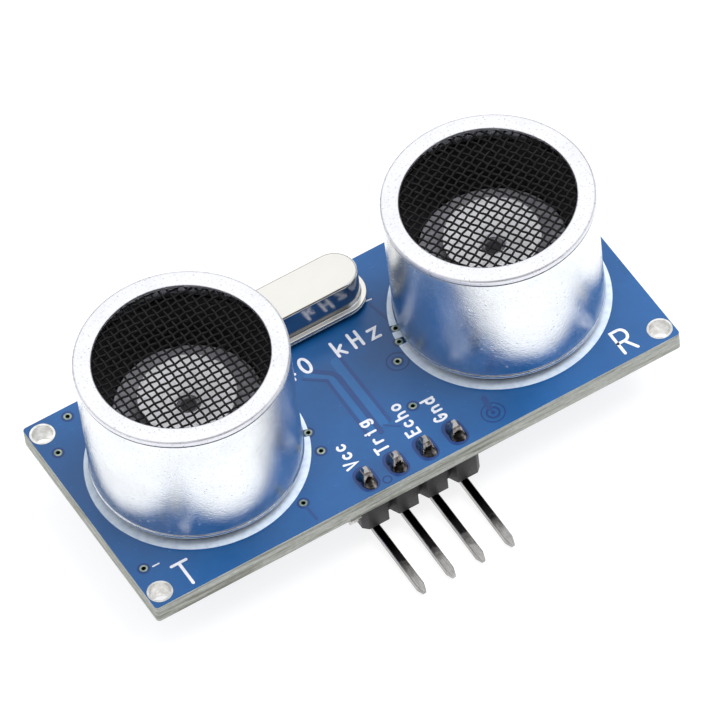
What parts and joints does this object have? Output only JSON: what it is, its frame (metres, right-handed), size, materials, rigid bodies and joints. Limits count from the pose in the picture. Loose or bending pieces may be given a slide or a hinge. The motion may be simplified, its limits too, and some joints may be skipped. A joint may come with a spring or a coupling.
{
  "type": "ultrasonic distance sensor",
  "caption": "Small blue circuit board with two round mesh-fronted ultrasonic transducers, a quartz crystal and a right-angle pin header.",
  "frame": {"origin": "centre of the rectangle of four mounting holes, on the board's back face", "axes": "+X along the board's long side from the transmitter to the receiver, +Y towards the edge beside the crystal, +Z out of the board's front, the way the transducers look"},
  "size_m": [0.045, 0.0259, 0.0182],
  "materials": {
    "board_laminate": "glossy blue solder mask over glass-fibre laminate, bare layered edges",
    "can_aluminium": "satin drawn aluminium with fine scratches",
    "mesh_wire": "black woven wire",
    "black_moulding": "matt black moulded plastic",
    "grey_silicone": "soft grey silicone",
    "cone_aluminium": "bright pressed aluminium",
    "plate_brass": "thin rolled sheet",
    "piezo_ceramic": "fired ceramic with silvered faces",
    "tinned_metal": "tin plated",
    "solder": "reflowed solder, bright and slightly uneven",
    "wire_copper": "fine enamelled wire",
    "crystal_metal": "bright nickel plated drawn cap",
    "bead_glass": "fused glass",
    "quartz": "polished quartz",
    "header_plastic": "moulded black plastic",
    "pin_metal": "bright plated square wire",
    "chip_epoxy": "moulded black epoxy",
    "resistor_black": "black glazed film on ceramic",
    "capacitor_tan": "fired tan ceramic"
  },
  "bodies": {
    "root": {"amplifier_chip_body": "chip_epoxy", "amplifier_chip_leads": "tinned_metal", "capacitor_bodies": "capacitor_tan", "capacitor_end_caps": "tinned_metal", "circuit_board": "board_laminate", "controller_chip_body": "chip_epoxy", "controller_chip_leads": "tinned_metal", "crystal_base": "crystal_metal", "crystal_cap": "crystal_metal", "crystal_glass_beads": "bead_glass", "crystal_leads": "tinned_metal", "crystal_quartz_blank": "quartz", "crystal_solder": "solder", "crystal_springs": "crystal_metal", "driver_chip_body": "chip_epoxy", "driver_chip_leads": "tinned_metal", "header_housing": "header_plastic", "header_pin_echo": "pin_metal", "header_pin_ground": "pin_metal", "header_pin_supply": "pin_metal", "header_pin_trigger": "pin_metal", "header_solder": "solder", "receiver_base_disc": "black_moulding", "receiver_can": "can_aluminium", "receiver_cup": "black_moulding", "receiver_damping_ring": "grey_silicone", "receiver_diaphragm_plate": "plate_brass", "receiver_lead_wires": "wire_copper", "receiver_mesh": "mesh_wire", "receiver_piezo_disc": "piezo_ceramic", "receiver_resonator_cone": "cone_aluminium", "receiver_seat_ring": "grey_silicone", "receiver_solder": "solder", "receiver_terminals": "tinned_metal", "resistor_bodies": "resistor_black", "resistor_end_caps": "tinned_metal", "transistor_body": "chip_epoxy", "transistor_leads": "tinned_metal", "transmitter_base_disc": "black_moulding", "transmitter_can": "can_aluminium", "transmitter_cup": "black_moulding", "transmitter_damping_ring": "grey_silicone", "transmitter_diaphragm_plate": "plate_brass", "transmitter_lead_wires": "wire_copper", "transmitter_mesh": "mesh_wire", "transmitter_piezo_disc": "piezo_ceramic", "transmitter_resonator_cone": "cone_aluminium", "transmitter_seat_ring": "grey_silicone", "transmitter_solder": "solder", "transmitter_terminals": "tinned_metal"}
  },
  "joints": []
}
